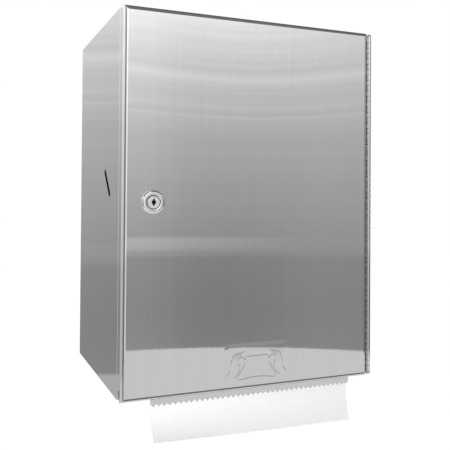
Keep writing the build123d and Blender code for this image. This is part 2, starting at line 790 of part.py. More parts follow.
# Crank, its pin and the hand knob on the drum's left journal
crank_disc_right = crank_disc_left + crank_disc_thickness
knob_right = knob_left + knob_thickness
crank_pin_left = knob_right + knob_clear / 2
with BuildPart() as crank_disc:
    along_x(crank_disc_left, crank_disc_right, drum_axis, crank_disc_diameter / 2)
    along_x(crank_disc_left - overrun, crank_disc_right + overrun, drum_axis,
            journal_radius + assembly_fit, Mode.SUBTRACT)
    along_x(crank_disc_left - overrun, crank_disc_right + overrun, crank_pin_axis,
            crank_pin_diameter / 2 + assembly_fit, Mode.SUBTRACT)
keep(crank_disc, "crank_disc")

with BuildPart() as crank_pin:
    along_x(crank_pin_left, crank_disc_right, crank_pin_axis, crank_pin_diameter / 2)
keep(crank_pin, "crank_pin")

with BuildPart() as feed_knob:
    along_x(knob_left, knob_right, drum_axis, knob_diameter / 2)
    for index in range(knob_flutes):
        along_x(knob_left - overrun, knob_right + overrun,
                polar(drum_axis, knob_diameter / 2 + flute_diameter / 4, 360 / knob_flutes * index),
                flute_diameter / 2, Mode.SUBTRACT)
    along_x(knob_left - overrun, knob_right + overrun, drum_axis,
            journal_radius + assembly_fit, Mode.SUBTRACT)
keep(feed_knob, "feed_knob")

# Over-centre spring between the crank pin and a post on the left plate
with BuildPart() as spring_post:
    along_x(crank_pin_left, plate_left_out, spring_post_axis, spring_post_diameter / 2)
keep(spring_post, "spring_post")

spring_x = (crank_pin_left + crank_disc_left) / 2
spring_from = polar(drum_axis, crank_throw + crank_pin_diameter / 2 + soft_gap, crank_angle)
spring_length = spring_post_throw - crank_throw - crank_pin_diameter / 2 - spring_post_diameter / 2
with BuildPart() as drive_spring:
    with BuildSketch(Plane(origin=(spring_x, *spring_from),
                           z_dir=(0, cos(radians(crank_angle)), sin(radians(crank_angle))))):
        Circle(drive_spring_diameter / 2)
    extrude(amount=spring_length - soft_gap - soft_gap)
keep(drive_spring, "drive_spring")

# Knife: a bar pivoted in the caps, a serrated blade, and a lever with a roller outside the right cap
carrier_left = cap_left_in + knife_bar_gap
carrier_right = cap_right_in - knife_bar_gap
blade_left = cap_left_in + knife_slot_margin + knife_bar_gap
blade_right = cap_right_in - knife_slot_margin - knife_bar_gap
lever_left = drum_right + knife_lever_gap
lever_right = lever_left + knife_lever_thickness
with BuildPart() as knife_carrier:
    with BuildSketch(knife_plane(carrier_left)):
        with Locations(((knife_bar_front - knife_pivot_side - knife_bar_tail) / 2, knife_pivot_radius)):
            Rectangle(knife_bar_front + knife_pivot_side + knife_bar_tail, knife_bar_thickness)
        lip_middle = (knife_pivot_radius + knife_bar_lip_radius) / 2
        with Locations((knife_bar_front - knife_bar_lip / 2, lip_middle)):
            Rectangle(knife_bar_lip, knife_bar_lip_radius - knife_pivot_radius)
    extrude(amount=carrier_right - carrier_left)
    along_x(cap_left_in - knife_stub, lever_right, knife_pivot, knife_pivot_diameter / 2)
keep(knife_carrier, "knife_carrier")

blade_face = knife_bar_front + knife_blade_thickness
blade_origin = knife_point(blade_face, 0)
with BuildPart() as knife_blade:
    with BuildSketch(Plane(origin=(0, *blade_origin), x_dir=(1, 0, 0), z_dir=-knife_tangent)):
        with BuildLine():
            Polyline(*serrated(blade_left, blade_right, knife_blade_foot, knife_blade_tip - knife_tooth_depth,
                               knife_blade_tip, knife_tooth_count), close=True)
        make_face()
    extrude(amount=knife_blade_thickness)
keep(knife_blade, "knife_blade")

follower_axis = knife_point(-follower_side, follower_radius)
follower_left = lever_right + follower_gap
follower_right = follower_left + follower_width
with BuildPart() as knife_lever:
    with BuildSketch(Plane.YZ.offset(lever_left)):
        with Locations(knife_pivot):
            Circle(knife_pivot_diameter / 2 + knife_lever_rim)
        with Locations(follower_axis):
            Circle(follower_diameter / 2)
        make_hull()
        with Locations(knife_pivot):
            Circle(knife_pivot_diameter / 2 + assembly_fit, mode=Mode.SUBTRACT)
    extrude(amount=knife_lever_thickness)
    along_x(lever_left, follower_right, follower_axis, follower_pin_diameter / 2)
keep(knife_lever, "knife_lever")

with BuildPart() as knife_follower:
    along_x(follower_left, follower_right, follower_axis, follower_diameter / 2)
    along_x(follower_left - overrun, follower_right + overrun, follower_axis,
            follower_pin_diameter / 2 + running_fit, Mode.SUBTRACT)
keep(knife_follower, "knife_follower")

# Fixed cam round the right bush, whose nose pushes the roller and swings the knife out
follower_orbit = hypot(follower_side, follower_radius)
cam_peak = follower_orbit - follower_diameter / 2 - knife_cam_gap
with BuildPart() as knife_cam:
    with BuildSketch(Plane.YZ.offset(plate_right_in - knife_cam_width)):
        with Locations(drum_axis):
            Circle(knife_cam_base / 2)
        with Locations(polar(drum_axis, cam_peak - knife_cam_nose / 2, knife_cam_angle)):
            Circle(knife_cam_nose / 2)
        make_hull()
        with Locations(drum_axis):
            Circle(bush_rim_radius + knife_cam_fit, mode=Mode.SUBTRACT)
    extrude(amount=knife_cam_width)
keep(knife_cam, "knife_cam")

# Pressure roller: two arms on a fixed shaft, an axle between them, a core with rubber sleeves
arm_left_out = plate_left_in + pressure_arm_gap
arm_left_in = arm_left_out + pressure_arm_thickness
arm_right_out = plate_right_in - pressure_arm_gap
arm_right_in = arm_right_out - pressure_arm_thickness
shaft_radius = pressure_shaft_diameter / 2
axle_radius = axle_diameter / 2
with BuildPart() as pressure_shaft:
    along_x(plate_left_out, plate_right_out, pressure_pivot, shaft_radius)
keep(pressure_shaft, "pressure_shaft")

with BuildPart() as pressure_arms:
    for arm_from in (arm_left_out, arm_right_in):
        with BuildSketch(Plane.YZ.offset(arm_from)):
            with Locations(pressure_pivot):
                Circle(shaft_radius + pressure_arm_rim)
            with Locations(roller_axis):
                Circle(axle_radius + pressure_arm_rim)
            make_hull()
            with Locations(pressure_pivot):
                Circle(shaft_radius + running_fit, mode=Mode.SUBTRACT)
            with Locations(roller_axis):
                Circle(axle_radius + assembly_fit, mode=Mode.SUBTRACT)
        extrude(amount=pressure_arm_thickness)
keep(pressure_arms, "pressure_arms")

with BuildPart() as pressure_axle:
    along_x(arm_left_out, arm_right_out, roller_axis, axle_radius)
keep(pressure_axle, "pressure_axle")

roller_left = arm_left_in + roller_end_gap
roller_right = arm_right_in - roller_end_gap
with BuildPart() as pressure_roller:
    along_x(roller_left, roller_right, roller_axis, roller_core_diameter / 2)
    along_x(roller_left - overrun, roller_right + overrun, roller_axis,
            axle_radius + running_fit, Mode.SUBTRACT)
keep(pressure_roller, "pressure_roller")

sleeve_pitch = (roller_right - roller_left) / sleeve_count
with BuildPart() as pressure_sleeves:
    for index in range(sleeve_count):
        sleeve_from = roller_left + sleeve_pitch * (index + 0.5) - sleeve_width / 2
        along_x(sleeve_from, sleeve_from + sleeve_width, roller_axis, roller_radius)
    along_x(roller_left, roller_right, roller_axis, roller_core_diameter / 2 + assembly_fit, Mode.SUBTRACT)
keep(pressure_sleeves, "pressure_sleeves")

# Torsion springs on the pressure shaft, inside the arms
spring_bore = shaft_radius + soft_gap
with BuildPart() as pressure_springs:
    for spring_left in (arm_left_in + soft_gap, arm_right_in - soft_gap - pressure_spring_length):
        along_x(spring_left, spring_left + pressure_spring_length, pressure_pivot,
                spring_bore + pressure_spring_wire)
    along_x(arm_left_in, arm_right_in, pressure_pivot, spring_bore, Mode.SUBTRACT)
keep(pressure_springs, "pressure_springs")

# Left roll arm: a strip with a foot on the back, and a tapered hub in the roll's core
holder_bottom = roll_axis[1] - holder_height / 2
holder_top = roll_axis[1] + holder_height / 2
with BuildPart() as roll_arm_left:
    block((holder_left_out, holder_left_in), (roll_axis[0], -sheet), (holder_bottom, holder_top))
    along_x(holder_left_out, holder_left_in, roll_axis, holder_nose)
    block((holder_left_out - holder_foot, holder_left_in), (-sheet - holder_thickness, -sheet),
          (holder_bottom, holder_top))
    for place in holder_screw_places:
        along_y(-sheet - holder_thickness - overrun, overrun, place,
                frame_screw_diameter / 2 + assembly_fit, Mode.SUBTRACT)
keep(roll_arm_left, "roll_arm_left")


def roll_hub(base_x, side):
    """A hub on the inner face of an arm: a round base and a plug that tapers into the core."""
    with BuildPart() as hub_piece:
        with Locations(Plane(origin=(base_x, *roll_axis), z_dir=(side, 0, 0))):
            Cylinder(hub_base_diameter / 2, hub_base, align=(Align.CENTER, Align.CENTER, Align.MIN))
        with Locations(Plane(origin=(base_x + side * hub_base, *roll_axis), z_dir=(side, 0, 0))):
            Cone(hub_plug_diameter / 2, hub_tip_diameter / 2, hub_plug,
                 align=(Align.CENTER, Align.CENTER, Align.MIN))
    return hub_piece


roll_hub_left = roll_hub(holder_left_in, 1)
keep(roll_hub_left, "roll_hub_left")
roll_hub_right = roll_hub(holder_right_in, -1)
keep(roll_hub_right, "roll_hub_right")

# Right roll arm: swings out on an upright pin between two lugs, so that the roll can be changed
holder_pin_radius = holder_pin_diameter / 2
holder_barrel_radius = holder_pin_radius + running_fit + holder_barrel_rim
holder_pin_axis = (holder_pin_x, holder_pin_y)
holder_spring_height = holder_height * holder_spring_share
barrel_top = holder_top - holder_spring_height
with BuildPart() as roll_arm_right:
    block((holder_right_in, holder_right_out), (roll_axis[0], holder_pin_y), (holder_bottom, barrel_top))
    block((holder_right_in, holder_right_out), (roll_axis[0], holder_pin_y - holder_barrel_radius - soft_gap),
          (holder_bottom, holder_top))
    along_x(holder_right_in, holder_right_out, roll_axis, holder_nose)
    along_z(holder_bottom, barrel_top, holder_pin_axis, holder_barrel_radius)
    along_z(holder_bottom - overrun, holder_top + overrun, holder_pin_axis,
            holder_pin_radius + running_fit, Mode.SUBTRACT)
keep(roll_arm_right, "roll_arm_right")

lug_span_x = (holder_pin_x - holder_lug_reach, holder_pin_x + holder_lug_reach)
lug_spans_z = (
    (holder_bottom - holder_lug_gap - holder_lug, holder_bottom - holder_lug_gap),
    (holder_top + holder_lug_gap, holder_top + holder_lug_gap + holder_lug),
)
with BuildPart() as roll_arm_bracket:
    block(lug_span_x, (-sheet - holder_thickness, -sheet), (lug_spans_z[0][0], lug_spans_z[1][1]))
    for lug_span_z in lug_spans_z:
        block(lug_span_x, (holder_pin_y - holder_lug_reach, -sheet), lug_span_z)
    along_z(lug_spans_z[0][0] - overrun, lug_spans_z[1][1] + overrun, holder_pin_axis,
            holder_pin_radius + assembly_fit, Mode.SUBTRACT)
keep(roll_arm_bracket, "roll_arm_bracket")

with BuildPart() as roll_arm_pin:
    along_z(lug_spans_z[0][0], lug_spans_z[1][1], holder_pin_axis, holder_pin_radius)
    along_z(lug_spans_z[1][1], lug_spans_z[1][1] + holder_thickness, holder_pin_axis, holder_barrel_radius)
keep(roll_arm_pin, "roll_arm_pin")

with BuildPart() as roll_arm_spring:
    along_z(barrel_top + soft_gap, holder_top, holder_pin_axis,
            holder_pin_radius + soft_gap + holder_spring_wire)
    along_z(barrel_top, holder_top + overrun, holder_pin_axis, holder_pin_radius + soft_gap, Mode.SUBTRACT)
keep(roll_arm_spring, "roll_arm_spring")

# Towel roll on its cardboard core
core_radius = core_bore / 2 + core_wall
with BuildPart() as roll_core:
    along_x(towel_left, towel_right, roll_axis, core_radius)
    along_x(towel_left - overrun, towel_right + overrun, roll_axis, core_bore / 2, Mode.SUBTRACT)
keep(roll_core, "roll_core")

with BuildPart() as towel_roll:
    along_x(towel_left, towel_right, roll_axis, roll_radius)
    along_x(towel_left - overrun, towel_right + overrun, roll_axis, core_radius + core_fit, Mode.SUBTRACT)
keep(towel_roll, "towel_roll")

# Towel sheet: off the back of the roll, round the pressure roller, through the nip, over the drum
# and straight down behind the tear bar. Each stretch is drawn twice, on both faces of the paper.
across = (roller_axis[0] - roll_axis[0], roller_axis[1] - roll_axis[1])
tangent_turn = acos((roll_radius - roller_radius) / hypot(*across))
tangent_angle = degrees(atan2(across[1], across[0]) + tangent_turn)
tail_top = bottom - tail_drop
tail_axis = (web_y - tail_radius, tail_top)


def web_face(roller_skin, drum_skin):
    """Lines and arcs of one face of the paper, at given distances from the roller and drum axes."""
    roll_point = polar(roll_axis, roll_radius + roller_skin - roller_radius, tangent_angle)
    drum_point = polar(drum_axis, drum_skin, 180)
    Line(roll_point, polar(roller_axis, roller_skin, tangent_angle))
    CenterArc(roller_axis, roller_skin, tangent_angle, nip_angle - 180 - tangent_angle)
    CenterArc(drum_axis, drum_skin, nip_angle, 180 - nip_angle)
    Line(drum_point, (drum_point[0], tail_top))
    return roll_point, (drum_point[0], tail_top)


with BuildPart() as towel_web:
    with BuildSketch(Plane.YZ.offset(towel_left)):
        with BuildLine():
            outer_ends = web_face(roller_radius + paper_gap, drum_radius + paper_gap + paper)
            inner_ends = web_face(roller_radius + paper_gap + paper, drum_radius + paper_gap)
            Line(outer_ends[0], inner_ends[0])
            Line(outer_ends[1], inner_ends[1])
        make_face()
    extrude(amount=towel_width)
keep(towel_web, "towel_web")

# Tail of the towel: the same sheet below the slot, curling forward as it came off the roll
with BuildPart() as towel_tail:
    with BuildSketch(Plane.YZ.offset(towel_left)):
        with BuildLine():
            tail_skins = (tail_radius - paper / 2, tail_radius + paper / 2)
            for skin in tail_skins:
                CenterArc(tail_axis, skin, 0, -tail_angle)
            for angle in (0, -tail_angle):
                Line(*[polar(tail_axis, skin, angle) for skin in tail_skins])
        make_face()
    extrude(amount=towel_width)
keep(towel_tail, "towel_tail")
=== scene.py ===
from math import acos, atan2, cos, degrees, hypot, pi, radians, sin

import bmesh
import bpy
import numpy as np
from mathutils import Matrix, Vector


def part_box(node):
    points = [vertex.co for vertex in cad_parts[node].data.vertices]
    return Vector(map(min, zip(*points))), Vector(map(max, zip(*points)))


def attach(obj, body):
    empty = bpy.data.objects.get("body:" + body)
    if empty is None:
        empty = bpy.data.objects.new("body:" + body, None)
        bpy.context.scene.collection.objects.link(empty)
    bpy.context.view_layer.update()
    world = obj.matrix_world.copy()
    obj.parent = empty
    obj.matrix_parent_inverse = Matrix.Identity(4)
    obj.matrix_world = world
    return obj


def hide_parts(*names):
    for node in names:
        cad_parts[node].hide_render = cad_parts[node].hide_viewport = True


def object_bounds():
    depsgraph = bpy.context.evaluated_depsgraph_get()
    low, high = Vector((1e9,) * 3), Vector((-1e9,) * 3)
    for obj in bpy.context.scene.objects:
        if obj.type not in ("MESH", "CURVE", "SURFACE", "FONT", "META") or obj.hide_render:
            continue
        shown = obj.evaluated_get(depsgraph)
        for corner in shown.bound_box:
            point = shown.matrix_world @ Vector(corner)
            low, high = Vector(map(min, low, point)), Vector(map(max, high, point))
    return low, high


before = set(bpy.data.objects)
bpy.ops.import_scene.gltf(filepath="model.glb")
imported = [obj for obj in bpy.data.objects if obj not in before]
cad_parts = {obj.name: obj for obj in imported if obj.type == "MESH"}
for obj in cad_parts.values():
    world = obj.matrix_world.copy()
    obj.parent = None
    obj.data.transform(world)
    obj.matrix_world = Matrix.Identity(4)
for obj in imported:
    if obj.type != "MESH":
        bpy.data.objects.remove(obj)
cad_low, cad_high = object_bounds()

# Cabinet: one stainless sheet wrapped into the back and two side walls, with a top and a bottom panel
# spot-welded inside. The sheet is brushed up and down, so its grain smears every reflection sideways.
steel_grey = (0.62, 0.62, 0.62)
steel_roughness = 0.04
steel_stretch = 1.0
grain_lines = 1400.0
grain_length_share = 0.012
grain_tint_share = 0.07
grain_relief = 0.00002
fine_line_share = 0.6
line_detail = 2.0
band_rate_share = 0.16
band_detail = 3.0
smudge_size = 0.11
smudge_roughness = 0.015
smudge_detail = 4.0
smudge_fineness = 0.6
smudge_from_share = 0.35
smudge_full_share = 0.68


def place(tree, kind, inputs=None, **properties):
    """Adds a shader node, sets its properties, and sets or links each input named by its socket."""
    node = tree.nodes.new("ShaderNode" + kind)
    for name, value in properties.items():
        setattr(node, name, value)
    for name, value in (inputs or {}).items():
        if isinstance(value, bpy.types.NodeSocket):
            tree.links.new(value, node.inputs[name])
        else:
            node.inputs[name].default_value = value
    return node


def feed(node, sockets):
    """Links sockets to the inputs of a node that is already in place, each named by its input."""
    for name, socket in sockets.items():
        node.id_data.links.new(socket, node.inputs[name])


def combine(tree, operation, first, second):
    """One sum, product or the like of two values or sockets, as a socket."""
    return place(tree, "Math", {0: first, 1: second}, operation=operation).outputs[0]


def blend_colours(tree, mask, first, second):
    """A colour that goes from first to second as the mask goes from 0 to 1."""
    return place(tree, "Mix", {0: mask, 6: first, 7: second}, data_type="RGBA").outputs[2]


def spread(tree, value, low, high):
    """A value from 0 to 1 stretched to run from low to high."""
    return place(tree, "MapRange", {"Value": value, "To Min": low, "To Max": high}).outputs[0]


def tinted(colour, share=1.0):
    """An opaque colour, made darker or lighter by a share and no brighter than white."""
    return [min(1.0, part * share) for part in colour] + [1.0]


def effect(name, inputs, outputs):
    """An empty node group with named sockets, and its input and output nodes."""
    group = bpy.data.node_groups.new(name, "ShaderNodeTree")
    for socket, kind in inputs.items():
        group.interface.new_socket(socket, in_out="INPUT", socket_type="NodeSocket" + kind)
    for socket in outputs:
        group.interface.new_socket(socket, in_out="OUTPUT", socket_type="NodeSocketFloat")
    return group, group.nodes.new("NodeGroupInput"), group.nodes.new("NodeGroupOutput")


def finish_of(name, metallic, roughness):
    """A new material, its node tree, and its shader with a plain metallic and roughness."""
    material = bpy.data.materials.new(name)
    material.use_nodes = True
    tree = material.node_tree
    shader = tree.nodes["Principled BSDF"]
    shader.inputs["Metallic"].default_value = metallic
    shader.inputs["Roughness"].default_value = roughness
    return material, tree, shader


def on_piece(tree):
    """The Object coordinates, which stay with the piece as it moves."""
    return place(tree, "TexCoord").outputs["Object"]


def dress(material, *nodes):
    """Gives CAD nodes a finish in place of the plain one that they came with."""
    for node in nodes:
        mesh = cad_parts[node].data
        mesh.materials.clear()
        mesh.materials.append(material)


# Brushed lines: noise drawn out along Z, as fine lines and as broader bands
brushed, brushed_in, brushed_out = effect(
    "brushed_lines", {"Vector": "Vector", "Lines": "Float", "Length": "Float"}, ["Height", "Bands"])
along = combine(brushed, "MULTIPLY", brushed_in.outputs["Lines"], brushed_in.outputs["Length"])
stretch = place(brushed, "CombineXYZ", {
    "X": brushed_in.outputs["Lines"], "Y": brushed_in.outputs["Lines"], "Z": along})
drawn_out = place(brushed, "VectorMath", {
    0: brushed_in.outputs["Vector"], 1: stretch.outputs[0]}, operation="MULTIPLY")
fine = place(brushed, "TexNoise", {"Vector": drawn_out.outputs[0], "Scale": 1.0, "Detail": line_detail})
broad = place(brushed, "TexNoise", {
    "Vector": drawn_out.outputs[0], "Scale": band_rate_share, "Detail": band_detail})
feed(brushed_out, {"Height": fine.outputs[0], "Bands": broad.outputs[0]})

# Smudges: cloudy patches left by hands and cloths
smudged, smudged_in, smudged_out = effect("smudges", {"Vector": "Vector", "Size": "Float"}, ["Mask"])
per_metre = combine(smudged, "DIVIDE", 1.0, smudged_in.outputs["Size"])
cloud = place(smudged, "TexNoise", {"Vector": smudged_in.outputs["Vector"], "Scale": per_metre,
                                    "Detail": smudge_detail, "Roughness": smudge_fineness})
cleared = place(smudged, "MapRange", {
    "Value": cloud.outputs[0], "From Min": smudge_from_share, "From Max": smudge_full_share})
feed(smudged_out, {"Mask": cleared.outputs[0]})


def brush_lines(tree, spot, lines, length_share):
    """The brushed lines placed in a material: so many a metre, each drawn out by the length share."""
    return place(tree, "Group", {"Vector": spot, "Lines": lines, "Length": length_share}, node_tree=brushed)


def smudge_mask(tree, spot, size):
    """The mask of the smudges placed in a material, with patches of about the given size."""
    return place(tree, "Group", {"Vector": spot, "Size": size}, node_tree=smudged).outputs["Mask"]


def brushed_steel(name, turn=(0.0, 0.0, 0.0), tangent="Z"):
    """Brushed stainless: the grain runs up the sheet, or along another axis where turn lays it over."""
    material, tree, shader = finish_of(name, 1.0, steel_roughness)
    spot = on_piece(tree)
    laid = place(tree, "Mapping", {"Vector": spot, "Rotation": turn})
    lines = brush_lines(tree, laid.outputs[0], grain_lines, grain_length_share)
    both = combine(tree, "ADD", combine(tree, "MULTIPLY", lines.outputs["Height"], fine_line_share),
                   combine(tree, "MULTIPLY", lines.outputs["Bands"], 1 - fine_line_share))
    marks = smudge_mask(tree, spot, smudge_size)
    ridge = place(tree, "Bump", {"Height": lines.outputs["Height"], "Distance": grain_relief})
    across = place(tree, "Tangent", direction_type="RADIAL", axis=tangent)
    shader.inputs["Anisotropic"].default_value = steel_stretch
    feed(shader, {
        "Base Color": blend_colours(tree, both, tinted(steel_grey, 1 - grain_tint_share),
                                    tinted(steel_grey, 1 + grain_tint_share)),
        "Roughness": spread(tree, marks, steel_roughness, steel_roughness + smudge_roughness),
        "Normal": ridge.outputs[0],
        "Tangent": across.outputs[0]})
    return material


upright_steel = brushed_steel("stainless_upright")
flat_steel = brushed_steel("stainless_flat", turn=(pi / 2, 0.0, 0.0), tangent="Y")
dress(upright_steel, "cabinet_shell")
dress(flat_steel, "top_panel", "bottom_panel")

# Tear bar: a stainless strip with saw teeth, screwed to the lip of the outlet slot. Its screws, like the
# other screws, pins and rods of the dispenser, are bright plated steel turned on a lathe.
screw_grey = (0.66, 0.66, 0.67)
screw_tint_shares = (0.9, 1.06)
screw_roughness = 0.22
screw_worn_roughness = 0.34
screw_lines = 900.0
screw_line_share = 0.2
screw_smudge = 0.02

bright_steel, tree, shader = finish_of("bright_steel", 1.0, screw_roughness)
spot = on_piece(tree)
turned = brush_lines(tree, spot, screw_lines, screw_line_share)
marks = smudge_mask(tree, spot, screw_smudge)
feed(shader, {
    "Base Color": blend_colours(tree, turned.outputs["Bands"],
                                *[tinted(screw_grey, share) for share in screw_tint_shares]),
    "Roughness": spread(tree, marks, screw_roughness, screw_worn_roughness)})
dress(upright_steel, "tear_bar")
dress(bright_steel, "tear_bar_screws", "frame_screws", "tie_rods", "pressure_shaft", "pressure_axle",
      "crank_pin", "spring_post", "roll_arm_pin", "drum_screws", "cam_screw", "hinge_pin")

# Door: a stainless pan with rounded bends, folded back along its edges, and a sign pressed into its
# lower middle: two hands and the towel between them, as raised lines on the pressed field.
# The points of the drawing are shares of half the sign's width and height, from its middle.
door_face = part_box("door_panel")[0].y
sign_width = 0.070
sign_height = 0.042
sign_shift = 0.001
sign_rise = 0.025
sign_middle = ((cad_low.x + cad_high.x) / 2 + sign_shift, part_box("cabinet_shell")[0].z + sign_rise)
line_width = 0.0014
line_height = 0.00006
line_root = 0.0002
line_points = 60
line_profile_points = 11
line_taper_points = 4
line_tip_share = 0.15
crease_angle = radians(40)
towel_shares = ((-0.36, 0.36), (0.36, 0.36))
towel_left_shares = ((-0.36, 0.30), (-0.38, 0.0), (-0.52, -0.40), (-0.60, -0.72))
towel_foot_shares = ((-0.60, -0.72), (0.0, -0.62), (0.60, -0.72))
thumb_shares = ((-0.37, 0.20), (-0.46, 0.34), (-0.56, 0.30), (-0.58, 0.12), (-0.52, -0.16))
wrist_shares = ((-0.76, 0.30), (-0.80, 0.02), (-0.84, -0.30), (-0.94, -0.52))
palm_shares = ((-0.52, -0.16), (-0.58, -0.42), (-0.70, -0.62))
finger_count = 4
finger_step_shares = (0.085, 0.030)
finger_foot_shares = (-0.76, 0.24)
finger_reach_shares = (0.11, 0.30)
finger_bulge_shares = (-0.03, 0.02)


def smooth_path(points, count):
    """Points evenly spread along a Catmull-Rom curve through a few chosen points."""
    knots = np.asarray(points, float)
    knots = np.vstack([2 * knots[0] - knots[1], knots, 2 * knots[-1] - knots[-2]])
    where = np.linspace(0, len(knots) - 3, count)
    span = np.minimum(where.astype(int), len(knots) - 4)
    part = (where - span)[:, None]
    before, start, end, after = (knots[span + step] for step in range(4))
    return 0.5 * (2 * start + (end - before) * part + (2 * before - 5 * start + 4 * end - after) * part**2
                  + (3 * start - before - 3 * end + after) * part**3)


def skin(name, rings, layout=None, endless=False):
    """A closed surface through rings of points, given as stations by points by three coordinates.

    Each point joins its neighbour in the ring and the same point of the next ring. A flat cap closes
    each end, or where endless the last ring joins the first. Layout is the UV place of each point.
    """
    stations, points = rings.shape[:2]
    corner = np.arange(stations * points).reshape(stations, points)
    beside = np.roll(corner, -1, axis=1)
    after = np.roll(corner, -1, axis=0)
    beyond = np.roll(beside, -1, axis=0)
    quads = np.stack([corner, beside, beyond, after], axis=-1)
    if endless:
        faces = quads.reshape(-1, 4).tolist()
    else:
        faces = quads[:-1].reshape(-1, 4).tolist() + [corner[0][::-1].tolist(), corner[-1].tolist()]
    mesh = bpy.data.meshes.new(name)
    mesh.from_pydata(rings.reshape(-1, 3), [], faces)
    shape = bmesh.new()
    shape.from_mesh(mesh)
    bmesh.ops.recalc_face_normals(shape, faces=shape.faces)
    shape.to_mesh(mesh)
    shape.free()
    if layout is not None:
        loops = np.empty(len(mesh.loops), int)
        mesh.loops.foreach_get("vertex_index", loops)
        mesh.uv_layers.new(name="layout").data.foreach_set("uv", layout.reshape(-1, 2)[loops].ravel())
    mesh.shade_smooth()
    mesh.set_sharp_from_angle(angle=crease_angle)
    piece = bpy.data.objects.new(name, mesh)
    bpy.context.scene.collection.objects.link(piece)
    return piece


def raised_line(points):
    """Rings of a low soft ridge carried along a path on the sign.

    Its height is a squared cosine across it, it narrows and sinks towards both tips, and its flat foot
    lies a little under the door's face.
    """
    path = smooth_path(points, line_points) * (sign_width / 2, sign_height / 2) + sign_middle
    ahead = np.gradient(path, axis=0)
    ahead /= np.linalg.norm(ahead, axis=1, keepdims=True)
    sideways = np.stack([-ahead[:, 1], ahead[:, 0]], axis=1)
    share = np.linspace(1, -1, line_profile_points)
    across = np.concatenate([share, [-1.0, 1.0]]) * line_width / 2
    rise = np.concatenate([np.cos(share * pi / 2)**2 * line_height, [-line_root, -line_root]])
    from_tip = np.minimum(np.arange(line_points), np.arange(line_points)[::-1])
    taper = np.sqrt(np.clip(from_tip / line_taper_points, line_tip_share, 1))
    flat = path[:, None, :] + sideways[:, None, :] * (across * taper[:, None])[:, :, None]
    depth = door_face - np.where(rise > 0, rise * taper[:, None], rise)
    return np.stack([flat[..., 0], depth, flat[..., 1]], axis=-1)


def mirrored(points):
    """The same points on the other side of the sign."""
    return [(-across, up) for across, up in points]


one_hand = [towel_left_shares, thumb_shares, wrist_shares, palm_shares]
for finger in range(finger_count):
    foot = np.add(finger_foot_shares, np.multiply(finger_step_shares, finger))
    tip = foot + np.array(finger_reach_shares)
    bulge = (foot + tip) / 2 + finger_bulge_shares
    one_hand.append((tuple(foot), tuple(bulge), tuple(tip)))
strokes = [towel_shares, towel_foot_shares] + one_hand + [mirrored(stroke) for stroke in one_hand]
for number, stroke in enumerate(strokes):
    line = skin(f"sign_line_{number:02d}", raised_line(stroke))
    line.data.materials.append(upright_steel)
    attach(line, "door")
dress(upright_steel, "door_panel")

# Piano hinge: two stainless leaves whose knuckles take turns along one pin with a domed head at each end.
# One leaf is spot-welded to the door, the other to the cabinet, at the front-right corner.
dress(upright_steel, "hinge_door_leaf", "hinge_cabinet_leaf")

# Cam lock: a chromed die-cast head through the door, held from behind by a nut. Its polish is smeared
# by fingers and finely scratched by keys.
chrome_grey = (0.82, 0.82, 0.82)
chrome_tint_shares = (0.88, 1.05)
chrome_roughness = 0.06
chrome_worn_roughness = 0.2
chrome_lines = 2500.0
chrome_line_share = 0.5
chrome_smudge = 0.006

lock_chrome, tree, shader = finish_of("lock_chrome", 1.0, chrome_roughness)
spot = on_piece(tree)
marks = smudge_mask(tree, spot, chrome_smudge)
scratched = brush_lines(tree, spot, chrome_lines, chrome_line_share)
feed(shader, {
    "Base Color": blend_colours(tree, scratched.outputs["Bands"],
                                *[tinted(chrome_grey, share) for share in chrome_tint_shares]),
    "Roughness": spread(tree, marks, chrome_roughness, chrome_worn_roughness)})
dress(lock_chrome, "lock_housing")

# Lock plug: nickel-plated brass, its face turned on a lathe, so it scatters light more than the head.
# Its keyhole is painted near black from about a millimetre behind the face inwards: painted shade in the
# recess.
plug_grey = (0.88, 0.87, 0.86)
plug_tint_share = 0.9
plug_roughness = 0.3
ring_rate = 900.0
ring_wobble = 1.5
ring_relief = 0.00002
keyhole_shade_colour = (0.03, 0.03, 0.03)
keyhole_shade_from = 0.0005
keyhole_shade_full = 0.0014

plug_nickel, tree, shader = finish_of("plug_nickel", 1.0, plug_roughness)
spot = on_piece(tree)
plug_low, plug_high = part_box("lock_plug")
from_axis = place(tree, "Mapping", {"Vector": spot, "Location": -(plug_low + plug_high) / 2})
turning = place(tree, "TexWave", {
    "Vector": from_axis.outputs[0], "Scale": ring_rate, "Distortion": ring_wobble},
    wave_type="RINGS", rings_direction="Y").outputs[1]
plated = blend_colours(tree, turning, tinted(plug_grey, plug_tint_share), tinted(plug_grey))
# Painted shade: the colour goes near black deeper into the keyhole, between two depths behind the face.
depth = place(tree, "SeparateXYZ", {"Vector": spot}).outputs["Y"]
keyhole_shade = place(tree, "MapRange", {
    "Value": depth, "From Min": plug_low.y + keyhole_shade_from, "From Max": plug_low.y + keyhole_shade_full}).outputs[0]
grooves = place(tree, "Bump", {"Height": turning, "Distance": ring_relief})
feed(shader, {
    "Base Color": blend_colours(tree, keyhole_shade, plated, tinted(keyhole_shade_colour)),
    "Normal": grooves.outputs[0]})
dress(plug_nickel, "lock_plug")

# Feed module frame: two zinc-plated pressed plates on the back wall, joined by a bridge and tie rods.
# The same plate makes the roll arms, the pressure arms, the crank disc, and the lock's cam and nut.
zinc_grey = (0.55, 0.56, 0.57)
zinc_blue = (0.47, 0.49, 0.53)
zinc_roughness = 0.34
zinc_worn_roughness = 0.5
zinc_smudge = 0.05
spangle_rate = 160.0
spangle_share = 0.6

